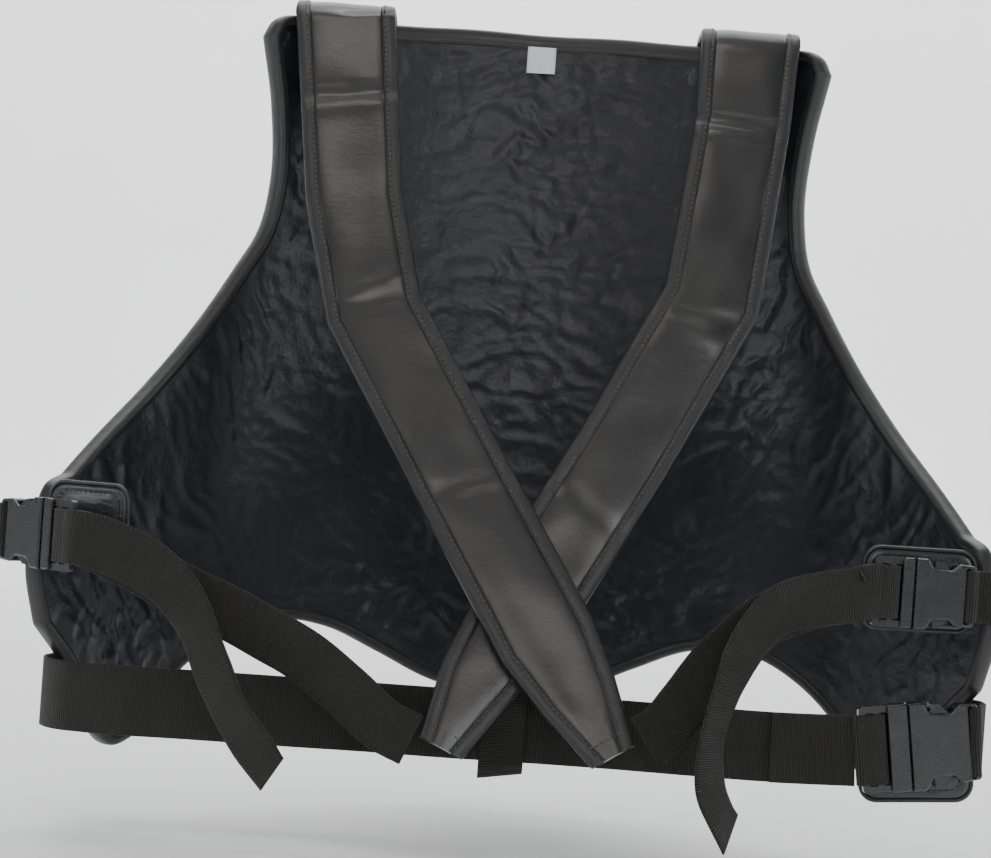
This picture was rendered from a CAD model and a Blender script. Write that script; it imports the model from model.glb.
from math import asin, ceil, cos, pi, radians, sin, sqrt

import bpy
import numpy as np
from mathutils import Matrix, Vector, geometry


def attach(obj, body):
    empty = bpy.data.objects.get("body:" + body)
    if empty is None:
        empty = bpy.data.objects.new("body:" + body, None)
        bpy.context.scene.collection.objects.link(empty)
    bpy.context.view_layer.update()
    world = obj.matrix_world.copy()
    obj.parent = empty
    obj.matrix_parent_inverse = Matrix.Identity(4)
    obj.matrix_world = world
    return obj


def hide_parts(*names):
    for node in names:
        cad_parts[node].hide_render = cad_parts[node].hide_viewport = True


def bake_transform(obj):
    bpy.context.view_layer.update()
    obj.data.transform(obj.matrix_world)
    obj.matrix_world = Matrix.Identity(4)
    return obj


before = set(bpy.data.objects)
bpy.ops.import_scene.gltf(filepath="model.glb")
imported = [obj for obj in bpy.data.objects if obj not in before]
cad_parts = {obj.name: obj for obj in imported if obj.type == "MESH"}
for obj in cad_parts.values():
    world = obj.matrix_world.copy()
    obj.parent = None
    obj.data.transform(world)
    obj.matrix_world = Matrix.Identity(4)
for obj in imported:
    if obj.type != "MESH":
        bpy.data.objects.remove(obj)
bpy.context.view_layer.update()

# The looks of a trainer's belly pad, in metres, in the part's own frame: +X is the wearer's
# right, +Y the wearer's front, +Z up.

# ---- Sizes that the part also has ------------------------

TORSO_RADIUS = 0.372
CHEST_Y = 0.1145
HALF_WIDTH = 0.339
CHEST_THICKNESS = 0.048
RIM_THICKNESS = 0.010
SEAM_X = 0.222
BELLY_THICKNESS = 0.022
BELLY_SIZE = (0.300, 0.230)
BELLY_MIDDLE_Z = 0.215
BELLY_CORNER = 0.060

NECK = [(0, .564), (.060, .5645), (.105, .562), (.185, .559)]
CORNER = [(.185, .559), (.206, .554), (.212, .541)]
ARMHOLE = [(.212, .541), (.203, .490), (.200, .430), (.206, .392), (.222, .358), (.247, .311),
           (.278, .262), (.304, .225), (.323, .195)]
WING_CORNER = [(.323, .195), (.332, .187), (.336, .172)]
WING_SIDE = [(.336, .172), (HALF_WIDTH, .129), (.333, .088)]
WING_HOLLOW = [(.333, .088), (.318, .061), (.307, .034), (.300, .010)]
WING_TIP = [(.300, .010), (.289, -.003), (.272, .005)]
LOWER_EDGE = [(.272, .005), (.262, .030), (.245, .054), (.222, .074), (.200, .086), (.170, .092),
              (.140, .087), (.100, .069), (.060, .050), (0, .038)]
STRETCHES = [NECK, CORNER, ARMHOLE, WING_CORNER, WING_SIDE, WING_HOLLOW, WING_TIP, LOWER_EDGE]

STRAP_TOP_WIDTH = 0.076
STRAP_WIDTH = 0.072
STRAP_END_WIDTH = 0.034
STRAP_TOP_Y = 0.050
STRAP_TOP_Z = 0.566
RIGHT_STRAP = [(.156, .566), (.152, .495), (.134, .355), (.072, .234), (.013, .130), (-.020, .071),
               (-.043, .023)]
LEFT_STRAP = [(-.158, .566), (-.138, .416), (-.116, .331), (-.042, .212), (.027, .103),
              (.052, .066), (.078, .027)]
RIGHT_STRAP_END_Y = -0.122
LEFT_STRAP_END_Y = -0.138

WEBBING = 0.0017
HARNESS_WIDTH = 0.038
BELT_WIDTH = 0.050
BELT_MIDDLE_Z = 0.038

TORSO_CENTRE_Y = CHEST_Y - TORSO_RADIUS
RIM_ANGLE = asin(HALF_WIDTH / TORSO_RADIUS)
RIM_FRONT_X = (TORSO_RADIUS + RIM_THICKNESS) * sin(RIM_ANGLE)
RIM_RISE = (CHEST_Y + CHEST_THICKNESS - TORSO_CENTRE_Y
            - (TORSO_RADIUS + RIM_THICKNESS) * cos(RIM_ANGLE))
FRONT_RADIUS = (RIM_FRONT_X ** 2 + RIM_RISE ** 2) / (2 * RIM_RISE)
FRONT_OFFSET = CHEST_Y + CHEST_THICKNESS - FRONT_RADIUS - TORSO_CENTRE_Y
SEAM_S = TORSO_RADIUS * asin(SEAM_X / TORSO_RADIUS)

# ---- Small tools -----------------------------------------


def smoothstep(low, high, value):
    t = np.clip((np.asarray(value, float) - low) / (high - low), 0, 1)
    return t * t * (3 - 2 * t)


def unit(v):
    v = np.asarray(v, float)
    return v / np.maximum(np.linalg.norm(v, axis=-1, keepdims=True), 1e-12)


def travel(points):
    """How far along a line each of its points is."""
    return np.concatenate([[0], np.cumsum(np.linalg.norm(np.diff(points, axis=0), axis=1))])


def curve_through(points, step):
    """Points every step or less along a smooth curve through the given ones."""
    p = np.array(points, float)
    gaps = np.linalg.norm(np.diff(p, axis=0), axis=1)
    t = np.concatenate([[0], np.cumsum(gaps)])
    slopes = np.gradient(p, t, axis=0)
    out = [p[:1]]
    for i, gap in enumerate(gaps):
        u = np.linspace(0, 1, max(2, ceil(gap / step) + 1))[1:, None]
        out.append((2 * u ** 3 - 3 * u ** 2 + 1) * p[i]
                   + (u ** 3 - 2 * u ** 2 + u) * gap * slopes[i]
                   + (3 * u ** 2 - 2 * u ** 3) * p[i + 1] + (u ** 3 - u ** 2) * gap * slopes[i + 1])
    return np.concatenate(out)


def evenly(points, step):
    """The same line with its points evenly spaced."""
    p = np.asarray(points, float)
    t = travel(p)
    at = np.linspace(0, t[-1], max(2, int(round(t[-1] / step)) + 1))
    return np.stack([np.interp(at, t, p[:, k]) for k in range(p.shape[1])], 1)


def smooth_line(points, fine, step):
    """A smooth curve through the points, evenly spaced."""
    return evenly(curve_through(points, fine), step)


def ease(w):
    return w ** 3 * (w * (w * 6 - 15) + 10)


class Field:
    """Smooth random field over a plane, the same on every run."""

    def __init__(self, seed):
        self.angles = np.random.RandomState(seed).uniform(0, 2 * pi, (256, 256))

    def __call__(self, x, y):
        x, y = np.asarray(x, float), np.asarray(y, float)
        xi, yi = np.floor(x).astype(int), np.floor(y).astype(int)
        fx, fy = x - xi, y - yi
        total = 0
        for cx in (0, 1):
            for cy in (0, 1):
                a = self.angles[(xi + cx) % 256, (yi + cy) % 256]
                wx = fx if cx else 1 - fx
                wy = fy if cy else 1 - fy
                slope = (fx - cx) * np.cos(a) + (fy - cy) * np.sin(a)
                total = total + ease(wx) * ease(wy) * slope
        return total * 1.5


def ridges(value, sharpness):
    """Thin raised folds where a random field passes through nought."""
    return np.maximum(0, 1 - np.abs(value) * sharpness) ** 1.5


def new_object(name, verts, faces, uvs=None):
    """A mesh object; uvs are given for each vertex, in metres along the piece."""
    mesh = bpy.data.meshes.new(name)
    mesh.from_pydata([tuple(map(float, v)) for v in verts], [], [tuple(map(int, f)) for f in faces])
    mesh.validate()
    if uvs is not None:
        layer = mesh.uv_layers.new(name="Cloth")
        corners = np.zeros(len(mesh.loops), int)
        mesh.loops.foreach_get("vertex_index", corners)
        layer.data.foreach_set("uv", np.asarray(uvs, np.float32)[corners].ravel())
    mesh.polygons.foreach_set("use_smooth", [True] * len(mesh.polygons))
    mesh.update()
    obj = bpy.data.objects.new(name, mesh)
    bpy.context.scene.collection.objects.link(obj)
    return obj


def sharp_ends(obj, first_row, last_row):
    """Keep the flat ends of a swept piece from softening its sides."""
    ends = (set(first_row), set(last_row))
    for edge in obj.data.edges:
        pair = set(edge.vertices)
        edge.use_edge_sharp = any(pair <= end for end in ends)


def grid_faces(rows, columns, wrap_rows=False, wrap_columns=False):
    faces = []
    for i in range(rows if wrap_rows else rows - 1):
        for j in range(columns if wrap_columns else columns - 1):
            a, b = i * columns + j, i * columns + (j + 1) % columns
            c, d = ((i + 1) % rows) * columns + (j + 1) % columns, ((i + 1) % rows) * columns + j
            faces.append((a, b, c, d))
    return faces


def sweep(name, rows, loop=False, along=None):
    """A closed skin over rows of points, each row a closed section, with its ends filled."""
    rows = np.asarray(rows, float)
    count, size = rows.shape[:2]
    verts = rows.reshape(-1, 3)
    faces = grid_faces(count, size, wrap_rows=loop, wrap_columns=True)
    if not loop:
        faces.append(tuple(range(size)))
        faces.append(tuple(reversed(range((count - 1) * size, count * size))))
    middle = rows.mean(1)
    if along is None:
        along = travel(middle)
    first = rows[:, :1]
    span = np.linalg.norm(rows - first, axis=2)
    uvs = np.stack([span, np.repeat(along[:, None], size, 1)], 2).reshape(-1, 2)
    piece = new_object(name, verts, faces, uvs)
    if not loop:
        sharp_ends(piece, range(size), range((count - 1) * size, count * size))
    return piece


def fix_normals(obj):
    import bmesh
    bm = bmesh.new()
    bm.from_mesh(obj.data)
    bmesh.ops.recalc_face_normals(bm, faces=bm.faces)
    bm.to_mesh(obj.data)
    bm.free()
    return obj


# ---- The pad's own surface -------------------------------


def on_pad(s, z, depth):
    """Points by arc along the torso's curve, height, and depth outwards from the lining."""
    s, z, depth = np.broadcast_arrays(s, z, depth)
    angle = s / TORSO_RADIUS
    r = TORSO_RADIUS + depth
    return np.stack([r * np.sin(angle), TORSO_CENTRE_Y + r * np.cos(angle), z], -1)


def arc_of(x):
    return TORSO_RADIUS * np.arcsin(np.asarray(x, float) / TORSO_RADIUS)


def half_outline(step):
    parts = []
    for number, stretch in enumerate(STRETCHES):
        points = [(float(arc_of(x)), z) for x, z in stretch]
        if number == 0:
            points = [(-points[1][0], points[1][1])] + points
        if number == len(STRETCHES) - 1:
            points = points + [(-points[-2][0], points[-2][1])]
        line = curve_through(points, step)
        line = line[line[:, 0] >= -1e-9]
        parts.append(line if number == 0 else line[1:])
    return np.concatenate(parts)


def whole_outline(step):
    """The closed outline as (arc, height), clockwise from the neckline's middle."""
    half = evenly(half_outline(0.001), step)
    half[0, 0] = 0
    half[-1, 0] = 0
    left = half[-2:0:-1] * [-1, 1]
    return np.concatenate([half, left])


OUTLINE = whole_outline(0.0035)


def outline_inward():
    """Unit directions into the pad at each point of the outline."""
    along = unit(np.roll(OUTLINE, -1, 0) - np.roll(OUTLINE, 1, 0))
    return np.stack([along[:, 1], -along[:, 0]], 1)


def smoothed(values, times):
    for _ in range(times):
        values = (np.roll(values, 1, 0) + 2 * values + np.roll(values, -1, 0)) / 4
    return values


INWARD = unit(smoothed(outline_inward(), 4))


def edge_distance(points):
    """Distance of each point from the outline."""
    a, b = OUTLINE, np.roll(OUTLINE, -1, 0)
    best = np.full(len(points), 1e9)
    for start in range(0, len(a), 40):
        p = points[:, None]
        q, d = a[None, start:start + 40], (b - a)[None, start:start + 40]
        t = np.clip(((p - q) * d).sum(2) / (d * d).sum(2), 0, 1)[..., None]
        best = np.minimum(best, np.linalg.norm(p - q - t * d, axis=2).min(1))
    return best


def inside(points):
    a, b = OUTLINE, np.roll(OUTLINE, -1, 0)
    odd = np.zeros(len(points), bool)
    for (x1, y1), (x2, y2) in zip(a, b):
        crosses = (y1 > points[:, 1]) != (y2 > points[:, 1])
        if crosses.any():
            x = x1 + (points[:, 1] - y1) / (y2 - y1 + 1e-15) * (x2 - x1)
            odd ^= crosses & (points[:, 0] < x)
    return odd


def filled_outline(spacing):
    """Vertices and triangles that fill the outline, split along the two seams."""
    low, high = OUTLINE.min(0), OUTLINE.max(0)
    xs = np.arange(low[0], high[0], spacing)
    ys = np.arange(low[1], high[1], spacing * sqrt(3) / 2)
    gx, gy = np.meshgrid(xs, ys)
    gx[1::2] += spacing / 2
    points = np.stack([gx.ravel(), gy.ravel()], 1)
    points = points[inside(points)]
    points = points[edge_distance(points) > 0.55 * spacing]
    points = points[np.abs(np.abs(points[:, 0]) - SEAM_S) > 0.4 * spacing]
    count = len(OUTLINE)
    all_points = [Vector(p) for p in OUTLINE]
    edges = [(i, (i + 1) % count) for i in range(count)]
    all_points += [Vector(p) for p in points]
    for side in (-1, 1):
        first = len(all_points)
        heights = np.arange(low[1] - 0.01, high[1] + 0.01, spacing)
        column = np.stack([np.full(len(heights), side * SEAM_S), heights], 1)
        column = column[inside(column)]
        column = column[edge_distance(column) > 0.3 * spacing]
        gaps = np.nonzero(np.diff(column[:, 1]) > 1.5 * spacing)[0]
        all_points += [Vector(p) for p in column]
        edges += [(first + i, first + i + 1) for i in range(len(column) - 1) if i not in gaps]
    verts, _, faces, *_ = geometry.delaunay_2d_cdt(all_points, edges, [list(range(count))], 1, 1e-7)
    return np.array([v[:] for v in verts]), [tuple(f) for f in faces]


def slab_thickness(s):
    """Thickness of the pad between its torso curve and its front curve."""
    angle = s / TORSO_RADIUS
    across = FRONT_OFFSET * np.sin(angle)
    return FRONT_OFFSET * np.cos(angle) + np.sqrt(FRONT_RADIUS ** 2 - across ** 2) - TORSO_RADIUS


CHEST_SEAMS = (0.352, 0.455)
WING_SEAMS = (0.075, 0.165)
EDGE_PUFF = 0.014           # how soon the padding reaches its full thickness from the rim
SEAM_DEPTH = 0.0075
SEAM_REACH = 0.0085
RIM_DEPTH = 0.0085
RIM_GAIN = 0.22             # how much of the pad's extra thickness its rim takes up
COVER_SINK = 0.001          # how far the cover lies inside the pad's front curve


def rim_depth(s):
    return RIM_DEPTH + RIM_GAIN * (slab_thickness(s) - RIM_THICKNESS)


def front_depth(s, z, edge):
    """Depth of the outer cover: padded between its rim and its sewn lines."""
    full = slab_thickness(s) - COVER_SINK
    rim = rim_depth(s)
    depth = rim + (full - rim) * (1 - np.exp(-edge / EDGE_PUFF))
    centre = np.abs(s) < SEAM_S
    lines = [np.abs(np.abs(s) - SEAM_S)]
    for height in CHEST_SEAMS:
        lines.append(np.where(centre, np.abs(z - height), 1.0))
    for height in WING_SEAMS:
        lines.append(np.where(centre, 1.0, np.abs(z - height)))
    near = np.minimum.reduce(lines)
    groove = SEAM_DEPTH * np.exp(-(near / SEAM_REACH))
    return np.maximum(depth - groove, RIM_DEPTH * 0.8)


# ---- Materials -------------------------------------------


class Shader:
    """Short names for building a material's nodes."""

    def __init__(self, name):
        self.material = bpy.data.materials.new(name)
        self.material.use_nodes = True
        self.nodes = self.material.node_tree.nodes
        self.links = self.material.node_tree.links
        self.bsdf = self.nodes["Principled BSDF"]

    def set(self, **values):
        for socket, value in values.items():
            self.bsdf.inputs[socket.replace("_", " ")].default_value = value
        return self

    def node(self, kind, **values):
        made = self.nodes.new(kind)
        for key, value in values.items():
            if hasattr(made, key):
                setattr(made, key, value)
            else:
                made.inputs[key.replace("_", " ")].default_value = value
        return made

    def link(self, out, into):
        self.links.new(out, into)

    def place(self, uv=False, scale=(1, 1, 1)):
        coordinates = self.node("ShaderNodeTexCoord")
        mapping = self.node("ShaderNodeMapping")
        mapping.inputs["Scale"].default_value = scale
        self.link(coordinates.outputs["UV" if uv else "Object"], mapping.inputs["Vector"])
        return mapping.outputs["Vector"]

    def texture(self, kind, vector, output, **values):
        made = self.node("ShaderNodeTex" + kind, **values)
        self.link(vector, made.inputs["Vector"])
        return made.outputs[output]

    def noise(self, vector, scale, detail=4.0, roughness=0.55):
        return self.texture("Noise", vector, "Fac", Scale=scale, Detail=detail, Roughness=roughness)

    def voronoi(self, vector, scale):
        return self.texture("Voronoi", vector, "Distance", feature="F1", Scale=scale)

    def wave(self, vector, scale, axis):
        return self.texture("Wave", vector, "Fac", bands_direction=axis, wave_profile="SIN",
                            Scale=scale)

    def colour(self, value, low, high, *ends):
        """Base colour that goes from one end to the other as value goes from low to high."""
        made = self.node("ShaderNodeValToRGB")
        for element, position, end in zip(made.color_ramp.elements, (low, high), ends):
            element.position = position
            element.color = (*end, 1)
        self.link(value, made.inputs["Fac"])
        self.link(made.outputs["Color"], self.bsdf.inputs["Base Color"])

    def span(self, value, low, high):
        made = self.node("ShaderNodeMapRange")
        made.inputs["To Min"].default_value = low
        made.inputs["To Max"].default_value = high
        self.link(value, made.inputs["Value"])
        return made.outputs["Result"]

    def maths(self, operation, a, b):
        made = self.node("ShaderNodeMath", operation=operation)
        for socket, value in zip(made.inputs, (a, b)):
            if isinstance(value, (int, float)):
                socket.default_value = value
            else:
                self.link(value, socket)
        return made.outputs[0]

    def roughness(self, value, low, high):
        self.link(self.span(value, low, high), self.bsdf.inputs["Roughness"])

    def relief(self, *layers):
        """Bumps from the lowest up, each as (height, strength, distance)."""
        normal = None
        for height, strength, distance in layers:
            made = self.node("ShaderNodeBump", Strength=strength, Distance=distance)
            self.link(height, made.inputs["Height"])
            if normal is not None:
                self.link(normal, made.inputs["Normal"])
            normal = made.outputs["Normal"]
        self.link(normal, self.bsdf.inputs["Normal"])


def leather(name, dark, light, rough=(0.26, 0.42), grain=1.0, coat=0.35, crease=0.22):
    """Coated leather: pebble grain, fine creases and a soft varnish."""
    m = Shader(name)
    at = m.place()
    m.colour(m.noise(at, 14, 5), 0.3, 0.75, dark, light)
    m.roughness(m.noise(at, 38, 6, 0.65), *rough)
    creases = m.noise(m.place(scale=(1, 1, 2.4)), 90, 5, 0.6)
    m.relief((creases, crease, 0.004), (m.voronoi(at, 900), 0.16 * grain, 0.0006),
             (m.noise(at, 1500, 3), 0.08 * grain, 0.0003))
    m.set(Coat_Weight=coat, Coat_Roughness=0.22, Specular_IOR_Level=0.55)
    return m.material


def nylon(name):
    """Satin lining: a fine plain weave with a cool sheen."""
    m = Shader(name)
    at = m.place(uv=True)
    m.colour(m.noise(at, 9, 5), 0.3, 0.75, (0.0030, 0.0032, 0.0065), (0.0065, 0.0068, 0.0120))
    weave = m.maths("MULTIPLY", m.wave(at, 420, "X"), m.wave(at, 420, "Y"))
    m.relief((m.noise(at, 160, 5, 0.6), 0.30, 0.0025), (weave, 0.10, 0.0002))
    m.roughness(m.noise(at, 30, 4), 0.28, 0.42)
    m.set(Sheen_Weight=0.12, Sheen_Roughness=0.35, Sheen_Tint=(0.55, 0.58, 0.75, 1),
          Specular_IOR_Level=0.5)
    return m.material


def ribbed_webbing(name, pitch=0.0016):
    """Woven webbing: cross ribs, a finer lengthwise weave, and worn edges."""
    m = Shader(name)
    at = m.place(uv=True)
    ribs = m.wave(at, 1 / pitch / 6.2832 * 2, "Y")
    fuzz = m.noise(at, 900, 4, 0.7)
    worn = m.maths("MULTIPLY", ribs, m.span(m.noise(at, 24, 4), 0.5, 1.3))
    m.colour(worn, 0.25, 0.95, (0.0030, 0.0030, 0.0028), (0.034, 0.032, 0.026))
    m.relief((ribs, 0.9, 0.0007), (m.wave(at, 190, "X"), 0.35, 0.0003), (fuzz, 0.25, 0.0002))
    m.roughness(fuzz, 0.55, 0.8)
    m.set(Sheen_Weight=0.08, Sheen_Roughness=0.45, Specular_IOR_Level=0.35)
    return m.material


def moulded_plastic(name):
    """Glossy black acetal with a fine moulded texture and light scuffs."""
    m = Shader(name)
    at = m.place()
    m.colour(m.noise(at, 60, 4), 0.3, 0.8, (0.010, 0.010, 0.011), (0.020, 0.020, 0.021))
    m.roughness(m.noise(m.place(scale=(1, 1, 6)), 220, 6, 0.7), 0.17, 0.36)
    m.relief((m.noise(at, 1900, 2), 0.10, 0.0002))
    m.set(Specular_IOR_Level=0.6, Coat_Weight=0.2, Coat_Roughness=0.15)
    return m.material


def woven_label(name):
    """White woven label with no printing."""
    m = Shader(name)
    at = m.place(uv=True)
    m.colour(m.noise(at, 220, 4), 0.3, 0.8, (0.62, 0.65, 0.69), (0.80, 0.82, 0.84))
    weave = m.maths("MULTIPLY", m.wave(at, 480, "X"), m.wave(at, 480, "Y"))
    m.relief((weave, 0.3, 0.0002))
    m.set(Roughness=0.6)
    return m.material


def thread(name, colour):
    m = Shader(name)
    m.colour(m.noise(m.place(), 300, 3), 0.3, 0.7, colour, tuple(2 * c for c in colour))
    m.relief((m.noise(m.place(scale=(1, 1, 3)), 1400, 3), 0.4, 0.0002))
    m.set(Roughness=0.5, Sheen_Weight=0.3)
    return m.material


LEATHER = leather("cover_leather", (0.0085, 0.0095, 0.0115), (0.016, 0.0175, 0.020))
STRAP_LEATHER = leather("strap_leather", (0.010, 0.010, 0.0105), (0.017, 0.0168, 0.0165),
                        rough=(0.24, 0.36), grain=0.8, coat=0.30, crease=0.06)
BINDING_LEATHER = leather("binding_leather", (0.006, 0.006, 0.006), (0.013, 0.012, 0.0115),
                          rough=(0.36, 0.52), grain=0.8, coat=0.10, crease=0.14)
NYLON = nylon("satin_lining")
RIBBED = ribbed_webbing("ribbed_webbing")
PLASTIC = moulded_plastic("moulded_plastic")
LABEL = woven_label("label_cloth")
THREAD = thread("black_thread", (0.016, 0.014, 0.012))


def dressed(obj, material):
    """Give a piece its material and the record's slot."""
    obj.data.materials.clear()
    obj.data.materials.append(material)
    return obj


# ---- Camera, floor and light -----------------------------

CAMERA_AT = (-0.020, -1.930, 0.250)
CAMERA_ROLL = 4.0
CAMERA_LENS = 93.2
FLOOR_Z = -0.060


def make_camera():
    data = bpy.data.cameras.new("camera")
    data.lens = CAMERA_LENS
    data.sensor_width = 36.0
    data.clip_start = 0.1
    data.clip_end = 20
    camera = bpy.data.objects.new("camera", data)
    lean = radians(CAMERA_ROLL)
    right = Vector((cos(lean), 0, sin(lean)))
    up = Vector((-sin(lean), 0, cos(lean)))
    back = right.cross(up)
    turned = Matrix((right, up, back)).transposed().to_4x4()
    camera.matrix_world = Matrix.Translation(CAMERA_AT) @ turned
    bpy.context.scene.collection.objects.link(camera)
    bpy.context.scene.camera = camera


def area_light(name, place, target, size, power, colour=(1, 1, 1)):
    data = bpy.data.lights.new(name, "AREA")
    data.shape = "RECTANGLE"
    data.size, data.size_y = size
    data.energy = power
    data.color = colour
    light = bpy.data.objects.new(name, data)
    light.location = place
    light.rotation_mode = "QUATERNION"
    light.rotation_quaternion = (Vector(target) - Vector(place)).to_track_quat("-Z", "Y")
    bpy.context.scene.collection.objects.link(light)


def make_studio():
    reach, bend, height, sides = 6.0, 0.9, 5.0, 64
    profile = [(share * reach, 0.0) for share in (0.02, 0.2, 0.4, 0.6, 0.8, 1.0)]
    profile += [(reach + bend * sin(a), bend - bend * cos(a)) for a in np.linspace(0.1, pi / 2, 12)]
    profile += [(reach + bend, height)]
    turns = np.linspace(0, 2 * pi, sides, endpoint=False)
    verts = [(r * cos(t), r * sin(t), FLOOR_Z + z) for r, z in profile for t in turns]
    faces = grid_faces(len(profile), sides, wrap_columns=True) + [tuple(reversed(range(sides)))]
    floor = new_object("floor", verts, faces)
    m = Shader("floor")
    at = m.place()
    m.colour(m.noise(at, 3, 3), 0.3, 0.7, (0.90, 0.90, 0.90), (0.92, 0.92, 0.92))
    m.set(Roughness=0.9)
    floor.data.materials.append(m.material)
    world = bpy.data.worlds.new("studio")
    world.use_nodes = True
    sky = world.node_tree.nodes["Background"].inputs
    sky["Color"].default_value = (0.80, 0.90, 1.0, 1)
    sky["Strength"].default_value = 0.20
    bpy.context.scene.world = world
    chest, back = (0, 0, 0.30), (0, -0.1, 0.25)
    area_light("warm_low", (0.1, -2.45, 1.30), back, (1.9, 0.30), 6.5, (1.0, 0.88, 0.78))
    area_light("warm_high", (-0.4, -1.75, 2.75), chest, (1.3, 0.4), 10, (1.0, 0.90, 0.80))
    area_light("cool_left", (-2.3, -1.3, 1.0), back, (0.5, 1.4), 13, (0.88, 0.95, 1.0))
    area_light("cool_right", (2.3, -1.2, 0.9), back, (0.5, 1.4), 11, (0.90, 0.96, 1.0))
    area_light("top", (0, 0.15, 2.6), chest, (2.6, 1.2), 34)
    area_light("cool_front", (0.45, -3.0, 0.95), (0, 0.1, 0.45), (0.8, 0.5), 9, (0.86, 0.93, 1.0))
    area_light("backdrop", (0, 4.2, 3.6), (0, 6.9, 0.7), (4.5, 1.2), 210)
    area_light("backdrop_floor", (0, 2.6, 3.2), (0, 2.6, FLOOR_Z), (4.5, 3.6), 150)


make_camera()
make_studio()

# ---- Pad: lining, covers and rims ------------------------

CLOTH_SPACING = 0.0036
FLAT, TRIANGLES = filled_outline(CLOTH_SPACING)
EDGE = edge_distance(FLAT)


def border_loop(triangles):
    """The open border of a set of triangles, as directed edges."""
    edges = {}
    for a, b, c in triangles:
        for edge in ((a, b), (b, c), (c, a)):
            edges[edge] = edges.get(edge, 0) + 1
    return [(a, b) for a, b in edges if (b, a) not in edges]


def two_sided(name, triangles, near, far, uvs):
    """A closed piece between two layers of the same triangles."""
    used = sorted({v for t in triangles for v in t})
    index = {v: i for i, v in enumerate(used)}
    count = len(used)
    tris = [tuple(index[v] for v in t) for t in triangles]
    faces = list(tris)
    faces += [(a + count, c + count, b + count) for a, b, c in tris]
    faces += [(b, a, a + count, b + count) for a, b in border_loop(tris)]
    verts = np.concatenate([near[used], far[used]])
    uv = np.concatenate([uvs[used], uvs[used]])
    return fix_normals(new_object(name, verts, faces, uv))


def lining_wrinkles(s, z, edge):
    """How far the puckered lining stands off the foam."""
    warp_a, warp_b = Field(3), Field(4)
    ws = s + 0.016 * warp_a(s * 14, z * 14) + 0.005 * warp_a(s * 45, z * 45)
    wz = z + 0.016 * warp_b(s * 14, z * 14) + 0.005 * warp_b(s * 45, z * 45)
    side = np.sign(s)
    wing = smoothstep(0.12, 0.27, np.abs(s))
    level = Field(11)(ws * 13, wz * 46)
    level_fine = Field(12)(ws * 30, wz * 95)
    lean = ws - side * 0.55 * (wz - 0.2)
    upright = Field(13)(lean * 44, wz * 12)
    upright_fine = Field(14)(lean * 92, wz * 27)
    crumple = Field(15)(ws * 42, wz * 42)
    hem = Field(16)(ws * 10, edge * 60)
    low = smoothstep(0.20, 0.08, z)
    calm = 0.55 + 0.45 * Field(17)(s * 7, z * 7)
    height = (1 - wing) * (3.0 * ridges(level, 3.6) + 1.5 * ridges(level_fine, 3.0))
    height += wing * (3.4 * ridges(upright, 3.4) + 1.5 * ridges(upright_fine, 3.0))
    height += 1.3 * ridges(crumple, 2.6) + low * 1.5 * ridges(hem, 3.2)
    height += 1.6 * Field(18)(s * 11, z * 13)
    return 0.001 * height * np.clip(calm, 0.25, 1.2) * smoothstep(0.0, 0.02, edge)


def make_lining():
    s, z = FLAT.T
    lift = lining_wrinkles(s, z, EDGE)
    near = on_pad(s, z, -0.0004 - lift)
    far = on_pad(s, z, 0.0006)
    piece = two_sided("lining_cloth", TRIANGLES, near, far, FLAT)
    dressed(piece, NYLON)
    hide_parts("lining")
    return piece


def make_covers():
    s, z = FLAT.T
    puff = 0.0012 * Field(21)(s * 16, z * 16) + 0.0005 * Field(22)(s * 48, z * 48)
    depth = front_depth(s, z, EDGE) + puff * smoothstep(0.0, 0.03, EDGE)
    near = on_pad(s, z, 0.0012)
    far = on_pad(s, z, depth)
    middle = {}
    for t in TRIANGLES:
        where = FLAT[list(t), 0].mean()
        panel = "centre" if abs(where) < SEAM_S else ("right" if where > 0 else "left")
        middle.setdefault(panel, []).append(t)
    made = {}
    for panel, nodes in (("centre", ("centre_cover", "chest_foam")),
                         ("left", ("left_wing_cover", "left_wing_foam")),
                         ("right", ("right_wing_cover", "right_wing_foam"))):
        piece = two_sided(panel + "_padded_cover", middle[panel], near, far, FLAT)
        dressed(piece, LEATHER)
        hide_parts(*nodes)
        made[panel] = piece
    return made


def at_neck(points):
    return (np.abs(points[:, 0]) < arc_of(0.186)) & (points[:, 1] > 0.45)


# ---- Threads, tapes and tubes ----------------------------

STITCH_PITCH = 0.0042
STITCH_LENGTH = 0.0031
STITCH_RADIUS = 0.00055
STITCH_SIDES = 6


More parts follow.
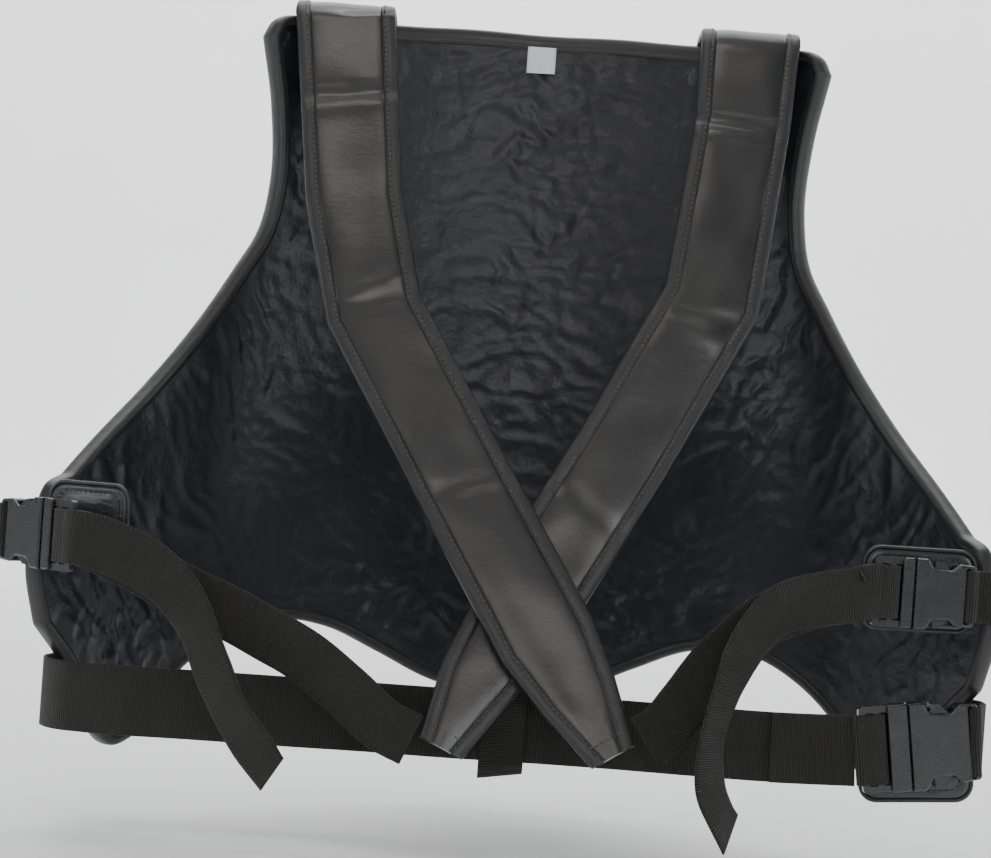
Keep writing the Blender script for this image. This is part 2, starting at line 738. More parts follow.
def stitches(name, line, normals, closed=False):
    """A row of short raised threads along a line that lies on a surface."""
    line, normals = np.asarray(line, float), np.asarray(normals, float)
    if closed:
        line, normals = np.concatenate([line, line[:1]]), np.concatenate([normals, normals[:1]])
    both = evenly(np.concatenate([line, normals], 1), STITCH_PITCH)
    points, ups = both[:, :3], unit(both[:, 3:])
    along = unit(np.gradient(points, axis=0))
    side = unit(np.cross(along, ups))
    rings = [(-0.5, 0.25, -0.6), (-0.3, 0.9, 0.1), (0.0, 1.0, 0.35), (0.3, 0.9, 0.1),
             (0.5, 0.25, -0.6)]
    skin = grid_faces(len(rings), STITCH_SIDES, wrap_columns=True)
    skin += [tuple(range(STITCH_SIDES)),
             tuple(reversed(range(4 * STITCH_SIDES, 5 * STITCH_SIDES)))]
    turns = np.linspace(0, 2 * pi, STITCH_SIDES, endpoint=False)
    verts, faces = [], []
    for p, a, u, w in zip(points, along, ups, side):
        first = len(verts)
        for reach, girth, lift in rings:
            middle = p + a * reach * STITCH_LENGTH + u * lift * STITCH_RADIUS
            for t in turns:
                verts.append(middle + STITCH_RADIUS * girth * (w * cos(t) + u * sin(t)))
        faces += [tuple(first + i for i in f) for f in skin]
    piece = fix_normals(new_object(name, verts, faces))
    return dressed(piece, THREAD)


def tape_section(width, thickness, cup=0.0):
    """Cross-section of a tape as (across, up) points, with rounded edges."""
    half, t = width / 2, thickness / 2
    across = np.linspace(-1, 1, 13)
    top = [(a * (half - t * 0.6), t + cup * (1 - a * a)) for a in across]
    bottom = [(a * (half - t * 0.6), -t + cup * (1 - a * a)) for a in across[::-1]]
    return np.array(top + [(half, 0.0)] + bottom + [(-half, 0.0)])


def tape(name, centre, across, width, cups=None, loop=False, begin=0.0, along=None):
    """Webbing along a line; across gives the direction of its width at each point."""
    centre = np.asarray(centre, float)
    if along is None and loop:
        along = unit(np.roll(centre, -1, 0) - np.roll(centre, 1, 0))
    elif along is None:
        along = unit(np.gradient(centre, axis=0))
    across = np.broadcast_to(np.asarray(across, float), centre.shape)
    across = unit(across - along * (across * along).sum(1, keepdims=True))
    up = np.cross(across, along)
    cups = np.zeros(len(centre)) if cups is None else cups
    rows = []
    for p, w, u, cup in zip(centre, across, up, cups):
        section = tape_section(width, WEBBING, cup)
        rows.append(p + section[:, :1] * w + section[:, 1:] * u)
    piece = sweep(name, rows, loop=loop)
    layer = piece.data.uv_layers["Cloth"].data
    gone = begin + travel(centre)
    spans = tape_section(width, WEBBING)[:, 0]
    columns = len(spans)
    for corner in piece.data.loops:
        row, column = divmod(corner.vertex_index, columns)
        layer[corner.index].uv = (float(spans[column]), float(gone[row]))
    fix_normals(piece)
    return dressed(piece, RIBBED)


def tube(name, line, radius):
    """A closed cord along a closed line."""
    line = np.asarray(line, float)
    along = unit(np.roll(line, -1, 0) - np.roll(line, 1, 0))
    helper = np.array([0.0, 0.0, 1.0])
    flat = np.abs(along @ helper) > 0.95
    side = unit(np.cross(along, helper) + flat[:, None] * np.cross(along, [0.3, 1.0, 0.0]))
    for i in range(1, len(line)):
        candidate = side[i - 1] - along[i] * (side[i - 1] @ along[i])
        side[i] = candidate / np.linalg.norm(candidate)
    up = np.cross(along, side)
    turns = np.linspace(0, 2 * pi, 10, endpoint=False)
    rows = [[p + radius * (cos(t) * w + sin(t) * u) for t in turns]
            for p, w, u in zip(line, side, up)]
    return fix_normals(sweep(name, rows, loop=True))


# ---- Pad trims -------------------------------------------


def trim(name, chosen, section, material):
    """A folded trim round part of the pad's rim; section is (inset, depth) at a thin rim."""
    rows = []
    for i in chosen:
        s, z = OUTLINE[i]
        deep = rim_depth(s) / RIM_DEPTH
        row = [on_pad(s + a * INWARD[i, 0], z + a * INWARD[i, 1], d * deep if d > 0 else d)
               for a, d in section]
        rows.append(row)
    piece = fix_normals(sweep(name, rows))
    return dressed(piece, material)


def chosen_outline(test):
    picked = np.nonzero(test(OUTLINE))[0]
    gap = np.nonzero(np.diff(picked) > 1)[0]
    return np.roll(picked, -(gap[0] + 1)) if len(gap) else picked


def trim_section(reach):
    """Folded leather round the rim, from the lining's side round to the front."""
    outside = [(reach, -0.0008), (reach - 0.0006, -0.0017), (reach * 0.5, -0.0024),
               (0.0006, -0.0020), (-0.0012, -0.0002), (-0.0017, 0.0030), (-0.0016, 0.0060),
               (-0.0009, 0.0088),
               (0.0010, 0.0104), (reach * 0.6, 0.0112), (reach, 0.0106)]
    return outside + [(reach, 0.0092), (0.0016, 0.0080), (0.0003, 0.0045), (0.0012, 0.0009),
                      (reach, 0.0004)]


STITCH_INSET = 0.0088


def make_trims():
    neck = chosen_outline(at_neck)
    others = chosen_outline(lambda points: ~at_neck(points))
    others = np.concatenate([[neck[-1]], others, [neck[0]]])
    rim = trim("rim_piping", others, trim_section(0.0065), BINDING_LEATHER)
    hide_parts("rim_binding")
    band = trim("neck_band", neck, trim_section(0.0115), BINDING_LEATHER)
    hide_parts("neck_binding")
    s, z = (OUTLINE[neck] + STITCH_INSET * INWARD[neck]).T
    line = on_pad(s, z, -0.0021)
    angle = OUTLINE[neck, 0] / TORSO_RADIUS
    normals = np.stack([-np.sin(angle), -np.cos(angle), 0 * angle], 1)
    row = stitches("neck_stitches", line, normals)
    for piece in (rim, band, row):
        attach(piece, "pad")


# ---- Belly section and label -----------------------------


def rounded_rectangle(width, height, corner, count):
    """Points evenly round a rounded rectangle."""
    half_w, half_h = width / 2 - corner, height / 2 - corner
    points = []
    for cx, cy, start in ((half_w, half_h, 0), (-half_w, half_h, 90), (-half_w, -half_h, 180),
                          (half_w, -half_h, 270)):
        for a in np.radians(np.linspace(start, start + 90, 12)):
            points.append((cx + corner * cos(a), cy + corner * sin(a)))
    points = np.array(points + points[:1])
    gaps = travel(points)
    at = np.linspace(0, gaps[-1], count, endpoint=False)
    return np.stack([np.interp(at, gaps, points[:, k]) for k in (0, 1)], 1)


def cushion(name, place, width, height, corner, crown, dent, back, count=96, rings=16):
    """A stuffed flat piece: place(x, y, h) gives its points; dent is the share of the way out of a
    sewn line."""
    outline = rounded_rectangle(width, height, corner, count)
    verts, uvs = [place(0, 0, crown)], [(0, 0)]
    shares = np.linspace(0, 1, rings + 1)[1:]
    for share in shares:
        body = (1 - share ** 5) ** 0.5 if share < 1 else 0
        sewn = 0.45 * crown * np.exp(-((share - dent) / 0.035) ** 2)
        height_here = crown * (0.12 + 0.88 * body) - sewn
        for x, y in outline * share:
            verts.append(place(x, y, max(height_here, 0.0)))
            uvs.append((x, y))
    for share in shares[::-1]:
        for x, y in outline * share:
            verts.append(place(x, y, back * (1 if share < 1 else 0.4)))
            uvs.append((x, y))
    verts.append(place(0, 0, back))
    uvs.append((0, 0))
    ring_faces = grid_faces(2 * rings, count, wrap_columns=True)
    faces = [tuple(i + 1 for i in f) for f in ring_faces]
    faces += [(0, 1 + j, 1 + (j + 1) % count) for j in range(count)]
    last = len(verts) - 1
    faces += [(last, last - count + (j + 1) % count, last - count + j) for j in range(count)]
    return fix_normals(new_object(name, verts, faces, uvs))


def front_surface(x, z):
    """Place and outward direction on the pad's front at an X and Z."""
    s = arc_of(np.clip(x / 1.11, -0.33, 0.33))
    for _ in range(4):
        depth = slab_thickness(s) - COVER_SINK
        s = s + (x - (TORSO_RADIUS + depth) * np.sin(s / TORSO_RADIUS))
    depth = slab_thickness(s) - COVER_SINK
    return on_pad(s, z, depth), np.array([sin(s / TORSO_RADIUS), cos(s / TORSO_RADIUS), 0.0])


def make_belly():
    bumps = Field(31)

    def place(x, z, h):
        point, out = front_surface(x, BELLY_MIDDLE_Z + z)
        channels = sum(np.exp(-((z - level) / 0.006) ** 2) for level in (-0.040, 0.040))
        lift = h * (1 - 0.32 * channels) + 0.0012 * bumps(x * 18, z * 18) * (h > 0.004)
        return point + out * (lift - 0.002)

    width, height = BELLY_SIZE
    piece = cushion("belly_cushion", place, width, height, BELLY_CORNER, BELLY_THICKNESS, 2.0,
                    -0.003, count=180, rings=34)
    dressed(piece, LEATHER)
    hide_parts("belly_cover", "belly_foam")
    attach(piece, "pad")
    outline = rounded_rectangle(width + 0.002, height + 0.002, BELLY_CORNER, 260)
    line = []
    for x, z in outline:
        point, out = front_surface(x, BELLY_MIDDLE_Z + z)
        line.append(point + out * 0.0012)
    piping = tube("belly_piping", line, 0.0022)
    dressed(piping, BINDING_LEATHER)
    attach(piping, "pad")


LABEL_SIZE = (0.0225, 0.021)
LABEL_X = -0.004
LABEL_TOP_Z = 0.5555
LABEL_THICKNESS = 0.0004


def make_label():
    width, height = LABEL_SIZE
    y = CHEST_Y - 0.0030
    rows = []
    for t in np.linspace(0, 1, 14):
        curl = 0.0022 * t ** 2
        row = []
        for way, back in ((1, 0), (-1, LABEL_THICKNESS)):
            for a in np.linspace(-way, way, 12):
                lift = curl * (0.6 + 0.4 * a) + 0.0003 * (1 - a * a)
                row.append((LABEL_X + a * width / 2, y - lift + back, LABEL_TOP_Z - t * height))
        rows.append(row)
    piece = fix_normals(sweep("label_cloth", rows))
    dressed(piece, LABEL)
    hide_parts("care_label")
    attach(piece, "pad")


# ---- Shoulder straps -------------------------------------


def mitred_edges(points, widths):
    """Left and right edge points of a band, mitred at its bends."""
    p = np.array(points, float)
    d = unit(np.diff(p, axis=0))
    d = np.concatenate([d[:1], d, d[-1:]])
    along = unit(d[:-1] + d[1:])
    reach = np.array(widths) / 2 / (along * d[:-1]).sum(1)
    square = np.stack([-along[:, 1], along[:, 0]], 1) * reach[:, None]
    return p + square, p - square


def over_the_top(x):
    """The strap's way up the front of the pad and back over its top edge, as (Y, Z)."""
    top_edge = 0.5605
    z = np.linspace(0.504, top_edge, 11)
    s = arc_of(x / 1.08) + 0 * z
    depth = front_depth(s, z, top_edge - z)
    y = TORSO_CENTRE_Y + (TORSO_RADIUS + depth) * np.cos(s / TORSO_RADIUS) + 0.0052
    front = list(zip(y, z))
    return front[:-1] + [(y[-1] - 0.001, 0.5640), (y[-1] - 0.008, 0.5668),
                         (0.5 * (y[-1] + STRAP_TOP_Y), 0.5672), (STRAP_TOP_Y + 0.012, 0.5678)]


def strap_rows(line, end_y, step):
    """Edge points and outward directions down a strap, from the front over the top to its end."""
    end_z = line[-1][1]
    rise = np.array([0, STRAP_TOP_Y - end_y, STRAP_TOP_Z - end_z])
    slope = np.linalg.norm(rise) / rise[2]
    up_slope = rise / np.linalg.norm(rise)
    outward = np.cross([1.0, 0, 0], up_slope)
    flat = [(x, (z - STRAP_TOP_Z) * slope) for x, z in line]
    widths = [STRAP_TOP_WIDTH] + [STRAP_WIDTH] * (len(line) - 3)
    widths += [0.8 * STRAP_WIDTH, STRAP_END_WIDTH]
    one, other = mitred_edges(flat, widths)
    rows = []
    top = np.array([0, STRAP_TOP_Y, STRAP_TOP_Z])
    x_low, x_high = line[0][0] - STRAP_TOP_WIDTH / 2, line[0][0] + STRAP_TOP_WIDTH / 2
    path = [np.array([y, z]) for y, z in over_the_top(line[0][0])]
    low_point = top + up_slope * -0.010
    path += [np.array([STRAP_TOP_Y + 0.0035, STRAP_TOP_Z - 0.0005]), low_point[1:]]
    path = smooth_line(path, 0.002, 0.004)
    along = unit(np.gradient(path, axis=0))
    for (y, z), (forward, rise_here) in zip(path[:-1], along[:-1]):
        rows.append((np.array([x_low, y, z]), np.array([x_high, y, z]),
                     np.array([0, rise_here, -forward])))
    start = 0.010
    for i in range(len(flat) - 1):
        length = np.hypot(flat[i + 1][0] - flat[i][0], flat[i + 1][1] - flat[i][1])
        count = max(2, int(length / step))
        for t in np.linspace(0, 1, count + 1)[(0 if i == 0 else 1):]:
            a = one[i] * (1 - t) + one[i + 1] * t
            b = other[i] * (1 - t) + other[i + 1] * t
            if min(a[1], b[1]) > -start:
                continue
            low, high = (a, b) if a[0] < b[0] else (b, a)
            pa = top + np.array([low[0], 0, 0]) + up_slope * low[1]
            pb = top + np.array([high[0], 0, 0]) + up_slope * high[1]
            rows.append((pa, pb, outward))
    return rows


def edge_section():
    """Folded binding of a strap's edge as (in from the edge, up) points."""
    return [(.0108, .0021), (.0106, .0033), (.0096, .0039), (.0060, .0041), (.0024, .0039),
            (.0006, .0030), (-.0001, .0012), (-.0001, -.0012), (.0008, -.0029), (.0030, -.0036),
            (.0090, -.0037), (.0105, -.0034), (.0105, -.0025), (.0030, -.0024), (.0018, 0),
            (.0030, .0020)]


STRAP_EDGE = 0.0088          # how far in a strap's padded panel starts
STRAP_SEAM = 0.0082
# Creases across a strap: how far down, how much they lean, how deep.
CREASES = ((0.074, 0.004, 0.0020), (0.083, -0.003, -0.0012), (0.235, -0.012, 0.0011),
           (0.246, 0.010, -0.0009), (0.405, 0.012, 0.0009))


def make_strap(side, line, end_y, seed):
    name = "right" if side > 0 else "left"
    rows = strap_rows(line, end_y, 0.0055)
    a, b, up = (np.array(column) for column in zip(*rows))
    up = unit(up)
    middle = (a + b) / 2
    gone = travel(middle)
    from_top = np.abs(middle[:, 1] - STRAP_TOP_Y) + np.abs(middle[:, 2] - STRAP_TOP_Z)
    top_at = gone[np.argmin(from_top)]
    field, fine = Field(seed), Field(seed + 1)
    width = np.linalg.norm(b - a, axis=1)
    across = (b - a) / width[:, None]

    def sway(i, t):
        """Lift of the whole strap at a row, t from 0 to 1 across it."""
        l = gone[i] - top_at
        lift = 0.0016 * field(l * 9, t * 1.2) * smoothstep(0.02, 0.10, l)
        for crease, lean, depth in CREASES:
            lift -= depth * np.exp(-((l - crease - lean * (t - 0.5)) / 0.0045) ** 2)
        return lift

    panel_rows = []
    for i in range(len(rows)):
        inner = width[i] - 2 * STRAP_EDGE
        row = []
        for t in np.linspace(0, 1, 19):
            puff = 0.0026 + 0.0013 * (1 - (2 * t - 1) ** 6) + 0.0005 * fine(gone[i] * 26, t * 2.2)
            row.append(a[i] + across[i] * (STRAP_EDGE + t * inner) + up[i] * (puff + sway(i, t)))
        for t in np.linspace(1, 0, 7):
            row.append(a[i] + across[i] * (STRAP_EDGE + t * inner) + up[i] * (-0.0028 + sway(i, t)))
        panel_rows.append(row)
    panel = fix_normals(sweep(name + "_strap_panel", panel_rows, along=gone))
    dressed(panel, STRAP_LEATHER)
    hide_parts(name + "_strap_face", name + "_strap_backing", name + "_strap_core",
                name + "_strap_anchor")

    pieces = [panel]
    for number, (start, into) in enumerate(((a, across), (b, -across))):
        edge_rows = []
        for i in range(len(rows)):
            t = 0 if number == 0 else 1
            edge_rows.append([start[i] + into[i] * e + up[i] * (h + sway(i, abs(t - e / width[i])))
                              for e, h in edge_section()])
        edge = fix_normals(sweep("%s_strap_edge_%d" % (name, number + 1), edge_rows))
        dressed(edge, BINDING_LEATHER)
        pieces.append(edge)
        seam = [start[i] + into[i] * STRAP_SEAM
                + up[i] * (0.0040 + sway(i, abs(t - STRAP_SEAM / width[i])))
                for i in range(2, len(rows))]
        pieces.append(stitches("%s_strap_stitches_%d" % (name, number + 1), seam, up[2:]))
    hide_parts(name + "_strap_binding")
    inner_line = [a[-3] + across[-3] * (0.009 + t * (width[-3] - 0.018)) + up[-3] * 0.0040
                  for t in np.linspace(0, 1, 9)]
    pieces.append(stitches(name + "_strap_end_stitches", inner_line, [up[-3]] * 9))
    for piece in pieces:
        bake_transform(piece)


# ---- Harness, belt and buckles ---------------------------

RIM_Y = TORSO_CENTRE_Y + TORSO_RADIUS * cos(RIM_ANGLE)
BUCKLES = {
    "left": dict(side=-1, mouth=(-.0095, -.0247, .155), yaw=40, tilt=0, web=HARNESS_WIDTH,
                 socket=.044, frame=.029, thick=.013),
    "right": dict(side=1, mouth=(-.057, -.0147, .155), yaw=8, tilt=0, web=HARNESS_WIDTH,
                  socket=.044, frame=.029, thick=.013),
    "waist": dict(side=1, mouth=(-.051, -.0077, .046), yaw=6, tilt=8, web=BELT_WIDTH,
                  socket=.050, frame=.035, thick=.015),
}
GUARDS = {
    "left": dict(side=-1, middle=(-.037, -.0157, .165), yaw=25, tilt=0, size=(.068, .056)),
    "right": dict(side=1, middle=(-.051, -.0002, .157), yaw=8, tilt=0, size=(.084, .060)),
    "waist": dict(side=1, middle=(-.043, .0068, .039), yaw=6, tilt=3, size=(.084, .068)),
}
LEFT_RUN = [(-.064, .027), (-.082, .035), (-.112, .059), (-.145, .083), (-.170, .0955),
            (-.189, .105), (-.232, .123), (-.269, .141), (-.297, .153)]
RIGHT_RUN = [(.099, .039), (.110, .047), (.125, .067), (.148, .100), (.161, .113), (.174, .126),
             (.215, .145), (.248, .152)]
LEFT_TAIL = [(-.296, .154), (-.269, .145), (-.240, .128), (-.220, .102), (-.208, .075),
             (-.193, .044), (-.176, .020), (-.160, .0)]
RIGHT_TAIL = [(.243, .152), (.215, .147), (.187, .138), (.164, .112), (.151, .079), (.143, .044),
              (.145, .008), (.160, -.019)]
SPLIT = 4                   # the point of a run where its two halves meet
TAIL_GAP = 0.007
TWIST_STRETCH = (0.12, 0.62)    # the stretch of a tail along which it twists
FRAME_LAP = 0.0004
WRAP_EASE = 0.0006          # how much narrower webbing is where it passes through a plug


def from_rim(side, place):
    return np.array((side * (HALF_WIDTH + place[0]), RIM_Y + place[1]) + tuple(place[2:]))


class Stand:
    """A flat frame of reference: x out of a socket's mouth, z away from the wearer."""

    def __init__(self, piece, origin):
        side, y, t = piece["side"], radians(piece["yaw"]), radians(piece["tilt"])
        self.origin = from_rim(side, piece[origin])
        self.x = np.array([-side * cos(y) * cos(t), -sin(y) * cos(t), -sin(t)])
        away = np.array([side * sin(y), -cos(y), 0.0])
        self.z = unit(away - self.x * (away @ self.x))
        self.y = np.cross(self.z, self.x)

    def at(self, x, y, z):
        return self.origin + x * self.x + y * self.y + z * self.z


def round_the_bar(buckle, stand, first, last):
    """Webbing's way through a plug's frame and back; first and last are taken from its end."""
    end = buckle["frame"] + FRAME_LAP
    window = end - 0.005 - 0.006 - 0.004 - 0.003
    local = [(end + x, z) for x, z in first]
    local += [(end - 0.003, -0.0040), (window + 0.003, -0.0040), (window, -0.0026),
              (window - 0.0003, 0.0), (window, 0.0026), (window + 0.003, 0.0040)]
    local += [(end + x, z) for x, z in last]
    return [stand.at(x, 0, z) for x, z in local]


def make_harness(name, run, tail, ends_y, seed, turn):
    """A run of webbing in two halves, and its free tail."""
    buckle = BUCKLES[name]
    stand = Stand(buckle, "mouth")
    (x0, _), (x1, _) = run[0], run[-1]
    slope = (ends_y[1] - ends_y[0]) / (x1 - x0)
    along = unit(np.array([1.0, slope, 0.0]))
    facing = np.array([along[1], -along[0], 0.0])

    def on_plane(points, lift):
        p = np.array(points)
        y = ends_y[0] + slope * (p[:, 0] - x0)
        lift = np.asarray(lift).reshape(-1, 1)
        return np.stack([p[:, 0], y, p[:, 1]], 1) + facing * lift

    line = smooth_line(run, 0.002, 0.004)
    split_x = run[SPLIT][0]
    where = int(np.argmin(np.abs(line[:, 0] - split_x)))
    line[where] = run[SPLIT]
    field = Field(seed)
    l = np.linspace(0, 1, len(line))
    wave = 0.0016 * field(l * 4.3, l * 0) * np.sin(pi * l)
    centre = on_plane(line, wave)
    direction = unit(np.gradient(centre, axis=0))
    lean = radians(7) * np.sin(pi * l) * field(l * 3.1, l * 0 + 5)
    across = np.cross(direction, facing) * np.cos(lean)[:, None]
    across = across + facing * np.sin(lean)[:, None]
    plug_up = stand.y * np.sign(stand.y[2])
    across = across * np.sign(across[:, 2:])
    gone = np.linalg.norm(centre - centre[-1], axis=1)
    share = smoothstep(0.030, 0.002, gone)[:, None]
    across = unit(across * (1 - share) + plug_up * share)
    cups = 0.0009 * np.sin(pi * l)
    near = slice(0, where + 1)
    first = tape(name + "_run_at_strap", centre[near], across[near], buckle["web"],
                 cups=cups[near], along=direction[near])
    so_far = float(np.linalg.norm(np.diff(centre[near], axis=0), axis=1).sum())
    second = tape(name + "_run_at_plug", centre[where:], across[where:], buckle["web"],
                  cups=cups[where:], begin=so_far, along=direction[where:])
    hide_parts(name + "_harness_at_strap")
    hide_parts(name + "_harness_at_plug")
    split_point = tuple(centre[where])
    tuple(centre[0])
    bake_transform(first)
    tuple(centre[-1])
    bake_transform(second)

    hang = smooth_line(tail, 0.002, 0.004)
    t = np.linspace(0, 1, len(hang))
    edge_reach = np.sin(radians(abs(turn)) * smoothstep(*TWIST_STRETCH, t)) * buckle["web"] / 2
    sway = TAIL_GAP + 0.9 * edge_reach + 0.003 * field(t * 3.7 + 9, t * 0 + 2) * t
    end = buckle["frame"] + FRAME_LAP
    flat_tail = on_plane(hang, sway)
    over_bar = [stand.at(end - 0.0045, 0, 0.0052), stand.at(end + 0.001, 0, 0.0056)]
    far = np.linalg.norm(flat_tail - over_bar[0], axis=1) > 0.020
    knots = over_bar + list(flat_tail[far][:-2:4]) + [flat_tail[-1]]
    centre_tail = smooth_line(knots, 0.002, 0.004)
    t = np.linspace(0, 1, len(centre_tail))
    direction = unit(np.gradient(centre_tail, axis=0))
    twist = radians(turn) * smoothstep(*TWIST_STRETCH, t) + radians(8) * field(t * 5, t * 0 + 7)
    flat_across = unit(np.cross(direction, facing))
    up_sign = np.sign(flat_across[0, 2])
    share = smoothstep(0.20, 0.0, t)[:, None]
    flat_across = unit(flat_across * (1 - share) + plug_up * up_sign * share)
    across_tail = flat_across * np.cos(twist)[:, None]
    across_tail = across_tail + np.cross(direction, flat_across) * np.sin(twist)[:, None]
    loose = tape(name + "_loose_tail", centre_tail, across_tail, buckle["web"],
                 cups=0.0012 * np.sin(pi * t))
    verts = loose.data.vertices
    columns = len(tape_section(1, 0.1))
    for row in range(len(centre_tail) - 4, len(centre_tail)):
        share = (row - (len(centre_tail) - 5)) / 4
        for column in range(columns):
            vert = verts[row * columns + column]
            offset = np.array(vert.co) - centre_tail[row]
            reach = float(offset @ across_tail[row]) / (buckle["web"] / 2)
            vert.co = Vector(np.array(vert.co) + direction[row] * 0.006 * share * reach)
    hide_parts(name + "_webbing_tail")
    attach(loose, name + "_tail")

    path = [centre[-1]] + round_the_bar(buckle, stand, [(0.003, -0.0030)],
                                        [(-0.006, 0.0044), (-0.0035, 0.0046)])
    path = smooth_line(path, 0.0008, 0.0016)
    wrap = tape(name + "_web_in_plug", path, stand.y, buckle["web"] - WRAP_EASE)
    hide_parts(name + "_webbing_wrap")
    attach(wrap, name + "_plug")


LOOPS = {
    "left": dict(turn=[(.0285, .0103), (.025, .0163), (.017, .0193)], sewn=(.008, -.001, -.012)),
    "right": dict(turn=[(.005, -.0057), (.013, -.0017), (.0165, .0063)], sewn=(.011, .001, -.011)),
    "waist": dict(turn=[(.006, .0203), (.002, .0423)], sewn=(-.003, -.011, -.025)),
}


SEWN_GAP = 0.002            # from the pad's front curve to the middle of webbing sewn on it


def front_y(x, gap):
    return TORSO_CENTRE_Y + FRONT_OFFSET + sqrt((FRONT_RADIUS + gap) ** 2 - x ** 2)


def make_loop(name):
    """Webbing from round a socket's end bar to the front of the wing."""
    buckle, loop = BUCKLES[name], LOOPS[name]
    side = buckle["side"]
    stand = Stand(buckle, "mouth")
    end = -buckle["socket"]
    thick = buckle["thick"] / 2
    local = [(end + .0062, -thick * 0.4), (end + .0062, thick * 0.5), (end + .0050, thick + .0012),
             (end + .0010, thick + .0016), (end - .0010, thick * 0.7), (end - .0016, 0.0)]
    path = [stand.at(x, 0, z) for x, z in local]
    level = path[-1][2]
    for place in loop["turn"]:
        point = from_rim(side, place)
        path.append(np.array([point[0], point[1], level]))
    for out in loop["sewn"]:
        x = side * (HALF_WIDTH + out)
        path.append(np.array([x, front_y(x, SEWN_GAP), level]))
    path = smooth_line(path, 0.001, 0.0025)
    share = smoothstep(0, 0.02, np.linalg.norm(path - path[0], axis=1))[:, None]
    across = unit(stand.y * (1 - share) * np.sign(stand.y[2]) + np.array([0, 0, 1.0]) * share)
    band = tape(name + "_loop_web", path, across, buckle["web"] - 0.001)
    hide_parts(name + "_socket_loop")
    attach(band, "pad")


GUARD_CORNER = 0.011
GUARD_SEAM = 0.80           # how far out the seam is, as a share


def make_guard(name):
    guard = GUARDS[name]
    stand = Stand(guard, "middle")
    width, height = guard["size"][0] - 0.004, guard["size"][1] - 0.004
    crumple = Field(60 + len(name))

    def place(x, y, h):
        return stand.at(x, y, h * 0.55 + 0.0004 * crumple(x * 60, y * 60) * (h > 0.001))

    pad = cushion(name + "_guard_pad", place, width, height, GUARD_CORNER, 0.0068, GUARD_SEAM,
                  -0.0030, count=88, rings=18)
    dressed(pad, LEATHER)
    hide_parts(name + "_guard")
    outline = rounded_rectangle(width + 0.0012, height + 0.0012, 0.0116, 120)
    piping = tube(name + "_guard_cord", [stand.at(x, y, 0.0002) for x, y in outline], 0.00165)
    dressed(piping, BINDING_LEATHER)
    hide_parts(name + "_guard_piping")
    seam = rounded_rectangle(width, height, GUARD_CORNER, 160) * GUARD_SEAM
    row = stitches(name + "_guard_stitches", [stand.at(x, y, 0.0024) for x, y in seam],
                   [stand.z] * len(seam), closed=True)
    for piece in (pad, piping, row):
        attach(piece, "pad")


BELT_TURN = [(-.005, .0613), (-.003, .0423), (-.009, .0263), (-.020, .0153), (-.039, .0103)]
BELT_FORWARD = 0.0093
BELT_JOIN_X = 0.080
BELT_FOLD_X = 0.190


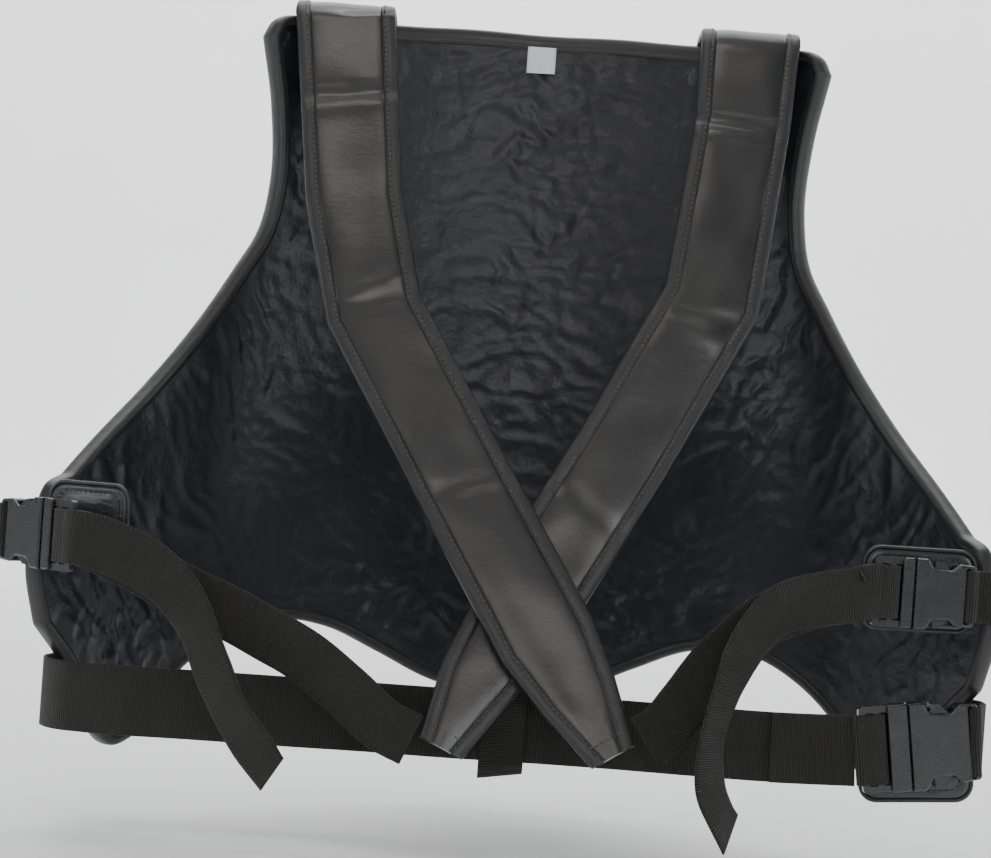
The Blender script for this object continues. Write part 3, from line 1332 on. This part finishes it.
def make_belt():
    buckle = BUCKLES["waist"]
    stand = Stand(buckle, "mouth")
    start = .043 - HALF_WIDTH
    path = [np.array([x, front_y(x, SEWN_GAP), BELT_MIDDLE_Z]) for x in (start, start - .018)]
    path += [np.append(from_rim(-1, place), BELT_MIDDLE_Z) for place in BELT_TURN]
    path += [np.array([x, RIM_Y + BELT_FORWARD, BELT_MIDDLE_Z]) for x in (-.22, -.14, -.06, 0, .04)]
    path += [np.array([BELT_JOIN_X, RIM_Y + .0088, BELT_MIDDLE_Z])]
    path = smooth_line(path, 0.002, 0.005)
    field = Field(71)
    l = np.linspace(0, 1, len(path))
    loose = smoothstep(0.16, 0.3, l) * (1 - smoothstep(0.93, 1.0, l))
    path[:, 1] += 0.0022 * field(path[:, 0] * 13, l * 0) * loose
    lean = radians(5) * field(path[:, 0] * 9, l * 0 + 4) * loose
    direction = unit(np.gradient(path, axis=0))
    up = np.array([0, 0, 1.0])
    across = up * np.cos(lean)[:, None] + np.cross(direction, up) * np.sin(lean)[:, None]
    belt = tape("belt_web", path, across, BELT_WIDTH, cups=0.0008 * loose)
    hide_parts("waist_belt")
    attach(belt, "pad")

    plug_end = stand.at(buckle["frame"] + .004, 0, 0)
    target = plug_end + np.array([0, .0025, 0])
    begin = path[-1]
    slack = [begin, begin * 0.6 + target * 0.4 - np.array([0, 0, (target[2] - begin[2]) * 0.4]),
             np.array([BELT_FOLD_X, (begin[1] + target[1]) / 2, begin[2]]), target]
    slack = smooth_line(slack, 0.002, 0.004)
    share = np.linspace(0, 1, len(slack))[:, None]
    across = unit(up * (1 - share) + stand.y * np.sign(stand.y[2]) * share)
    near = tape("belt_web_at_plug", slack, across, BELT_WIDTH)
    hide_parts("belt_at_plug")
    tuple(slack[0])
    tuple(slack[-1])
    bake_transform(near)
    first = int(np.argmin(np.abs(slack[:, 0] - BELT_FOLD_X)))
    fold_path = slack[first:] + np.array([0.0, -(WEBBING + 0.0010), 0.0])
    fold = tape("belt_web_fold", fold_path, across[first:], BELT_WIDTH)
    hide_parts("belt_fold")
    tuple(slack[0])
    tuple(slack[-1])
    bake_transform(fold)

    round_bar = [slack[-1]] + round_the_bar(buckle, stand, [(0.002, -0.0028)],
                                            [(-0.003, 0.0043), (0.002, 0.0036)])
    round_bar = round_bar + [fold_path[-1]]
    round_bar = smooth_line(round_bar, 0.0008, 0.0016)
    wrap = tape("waist_web_in_plug", round_bar, stand.y, BELT_WIDTH - WRAP_EASE)
    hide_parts("waist_webbing_wrap")
    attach(wrap, "waist_plug")

    inner = WEBBING / 2 + 0.0006 + WEBBING / 2
    low, high = .013 - .010, .063 + .0012
    y = RIM_Y + BELT_FORWARD
    ring = [(y - inner, low + .006), (y - inner, BELT_MIDDLE_Z), (y - inner, high - .001),
            (y, high + .0007), (y + inner, high - .001), (y + inner, BELT_MIDDLE_Z),
            (y + inner, low + .006), (y + .0004, low)]
    ring = curve_through([np.array([0.0, *p]) for p in ring + ring[:1]], 0.002)[:-1]
    keeper = tape("keeper_web", ring, np.array([1.0, 0, 0]), 0.032, loop=True)
    for vert in keeper.data.vertices:
        if vert.co.z < .020:
            low_share = float(smoothstep(.020, .008, vert.co.z))
            vert.co.z += 0.16 * (vert.co.x + 0.002) * low_share
    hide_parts("belt_keeper")
    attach(keeper, "pad")


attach(make_lining(), "pad")
for cover in make_covers().values():
    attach(cover, "pad")
make_trims()
make_belly()
make_label()
make_strap(1, RIGHT_STRAP, RIGHT_STRAP_END_Y, 81)
make_strap(-1, LEFT_STRAP, LEFT_STRAP_END_Y, 91)
make_harness("left", LEFT_RUN, LEFT_TAIL, (-.121, -.146), 101, 44)
make_harness("right", RIGHT_RUN, RIGHT_TAIL, (-.137, -.1235), 103, -50)
for buckle_name in BUCKLES:
    make_loop(buckle_name)
    make_guard(buckle_name)
make_belt()

for node_name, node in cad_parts.items():
    moulded = any(word in node_name for word in ("_socket", "_plug", "_prong"))
    woven = any(word in node_name for word in ("loop", "harness", "belt"))
    if moulded and not woven and node.type == "MESH":
        node.data.materials.clear()
        node.data.materials.append(PLASTIC)
